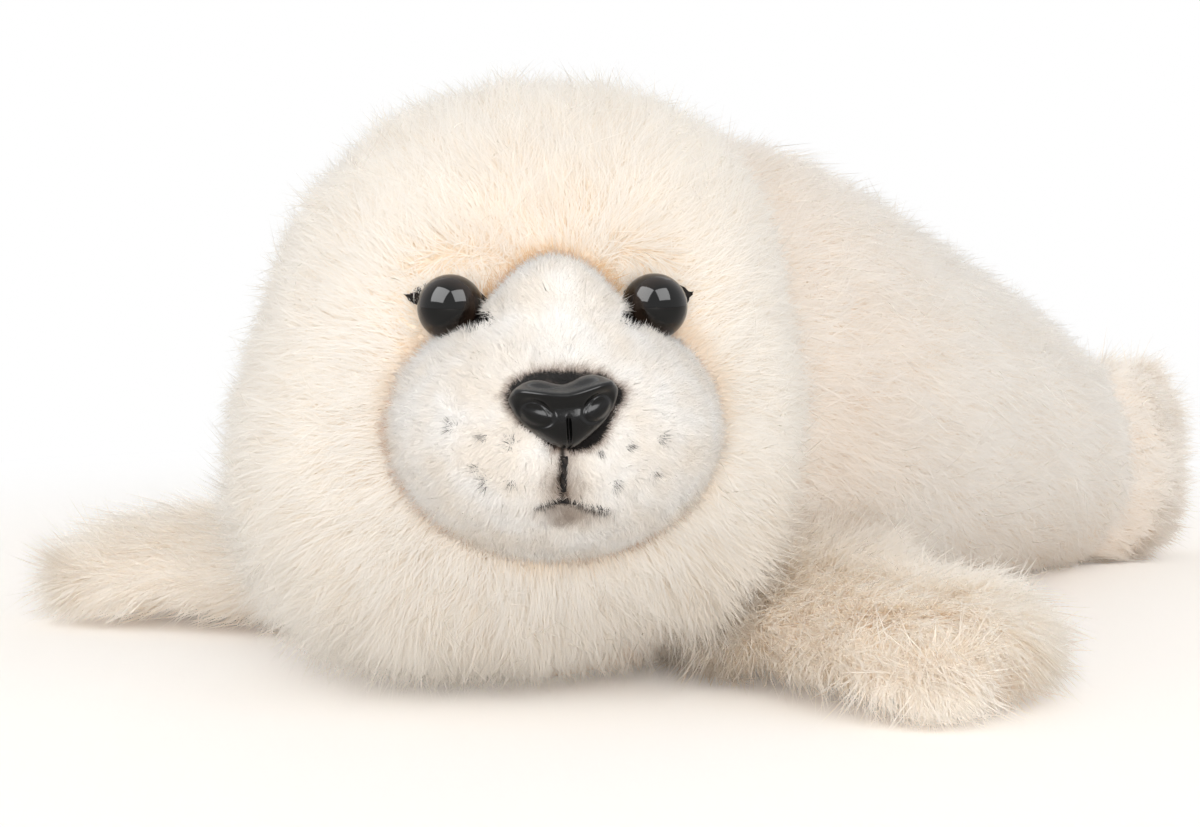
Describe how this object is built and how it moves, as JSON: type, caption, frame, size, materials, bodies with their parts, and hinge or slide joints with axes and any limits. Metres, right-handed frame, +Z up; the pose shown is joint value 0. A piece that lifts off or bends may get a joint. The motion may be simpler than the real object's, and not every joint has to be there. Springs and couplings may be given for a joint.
{
  "type": "stuffed toy seal pup",
  "caption": "Stuffed toy seal pup lying on its belly, head turned to its left, long cream pile, short-pile face, moulded eyes and nose.",
  "frame": {"origin": "on the floor under the middle of the belly, on the flat face that the belly is pressed to", "axes": "+Y from the middle of the belly towards the tail, +Z up, +X towards the seal's own left side, which the head is turned to"},
  "size_m": [0.2262, 0.3197, 0.1174],
  "materials": {
    "long_pile": "long cream pile",
    "short_pile": "short off-white pile",
    "black_plastic": "glossy black",
    "black_felt": "matt black felt",
    "black_thread": "matt black thread",
    "white_nylon": "natural white"
  },
  "bodies": {
    "root": {"body": "long_pile", "head": "long_pile", "muzzle": "short_pile", "left_front_flipper": "long_pile", "right_front_flipper": "long_pile", "left_hind_flipper": "long_pile", "right_hind_flipper": "long_pile", "left_eye": "black_plastic", "right_eye": "black_plastic", "nose": "black_plastic", "left_eye_felt": "black_felt", "right_eye_felt": "black_felt", "philtrum_stitch": "black_thread", "mouth_stitch": "black_thread", "left_eye_washer": "white_nylon", "right_eye_washer": "white_nylon", "nose_washer": "white_nylon"}
  },
  "joints": []
}
